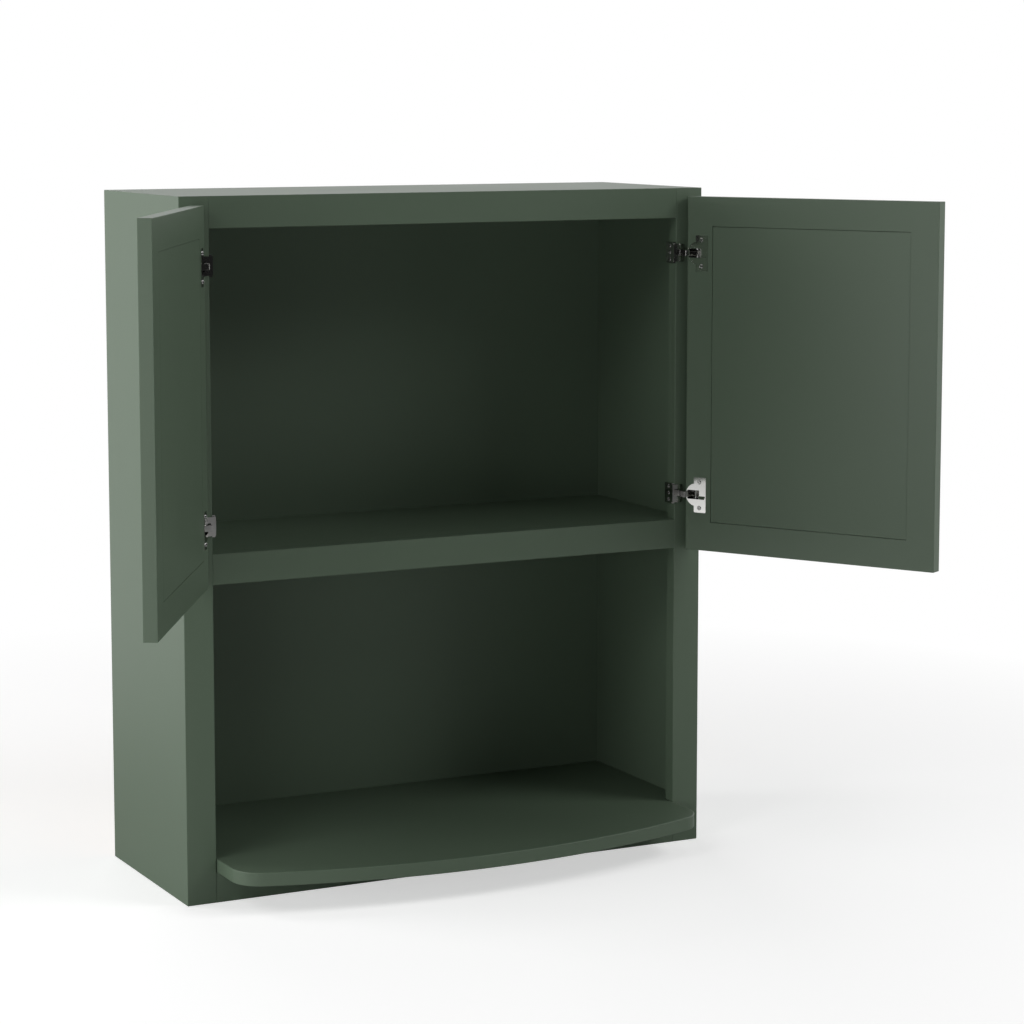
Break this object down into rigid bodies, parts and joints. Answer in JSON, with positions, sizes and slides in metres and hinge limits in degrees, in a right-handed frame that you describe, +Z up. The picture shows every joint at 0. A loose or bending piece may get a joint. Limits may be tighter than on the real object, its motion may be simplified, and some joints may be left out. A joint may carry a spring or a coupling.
{
  "type": "wall microwave cabinet",
  "caption": "Painted wall cabinet with a pair of hinged doors over an open microwave bay, whose shelf has a bowed front that stands out past the face frame.",
  "frame": {"origin": "on the wall plane, at the middle of the cabinet's bottom edge", "axes": "+X along the wall to the viewer's right, +Y into the wall, +Z up"},
  "size_m": [1.108, 0.6187, 0.9144],
  "materials": {
    "painted_wood": "satin sage green paint",
    "dowel_wood": "plain",
    "nickel_plate": "bright nickel plate",
    "screw_steel": "zinc plate",
    "pin_steel": "ground",
    "spring_steel": "blackened"
  },
  "bodies": {
    "cabinet": {"left_side_panel": "painted_wood", "right_side_panel": "painted_wood", "top_panel": "painted_wood", "middle_deck": "painted_wood", "floor_panel": "painted_wood", "back_panel": "painted_wood", "microwave_shelf": "painted_wood", "frame_left_stile": "painted_wood", "frame_right_stile": "painted_wood", "frame_top_rail": "painted_wood", "frame_middle_rail": "painted_wood", "frame_bottom_rail": "painted_wood", "frame_dowels": "dowel_wood", "back_screws": "screw_steel", "shelf_screws": "screw_steel", "left_upper_hinge_base": "nickel_plate", "left_lower_hinge_base": "nickel_plate", "right_upper_hinge_base": "nickel_plate", "right_lower_hinge_base": "nickel_plate", "left_upper_hinge_arm": "nickel_plate", "left_lower_hinge_arm": "nickel_plate", "right_upper_hinge_arm": "nickel_plate", "right_lower_hinge_arm": "nickel_plate", "hinge_base_screws": "screw_steel", "hinge_clamp_screws": "screw_steel"},
    "left_door": {"left_door_hinge_stile": "painted_wood", "left_door_lock_stile": "painted_wood", "left_door_top_rail": "painted_wood", "left_door_bottom_rail": "painted_wood", "left_door_panel": "painted_wood", "left_upper_hinge_cup": "nickel_plate", "left_lower_hinge_cup": "nickel_plate", "left_upper_hinge_pin": "pin_steel", "left_lower_hinge_pin": "pin_steel", "left_upper_hinge_spring": "spring_steel", "left_lower_hinge_spring": "spring_steel", "left_cup_screws": "screw_steel"},
    "right_door": {"right_door_hinge_stile": "painted_wood", "right_door_lock_stile": "painted_wood", "right_door_top_rail": "painted_wood", "right_door_bottom_rail": "painted_wood", "right_door_panel": "painted_wood", "right_upper_hinge_cup": "nickel_plate", "right_lower_hinge_cup": "nickel_plate", "right_upper_hinge_pin": "pin_steel", "right_lower_hinge_pin": "pin_steel", "right_upper_hinge_spring": "spring_steel", "right_lower_hinge_spring": "spring_steel", "right_cup_screws": "screw_steel"}
  },
  "joints": [
    {"name": "left_door_hinge", "type": "hinge", "parent": "cabinet", "child": "left_door", "pos_m": [-0.3663, -0.2972, 0.6599], "axis": [0, 0, -1], "range_deg": [-120, 0]},
    {"name": "right_door_hinge", "type": "hinge", "parent": "cabinet", "child": "right_door", "pos_m": [0.3663, -0.2972, 0.6599], "axis": [0, 0, 1], "range_deg": [-120, 0]}
  ]
}
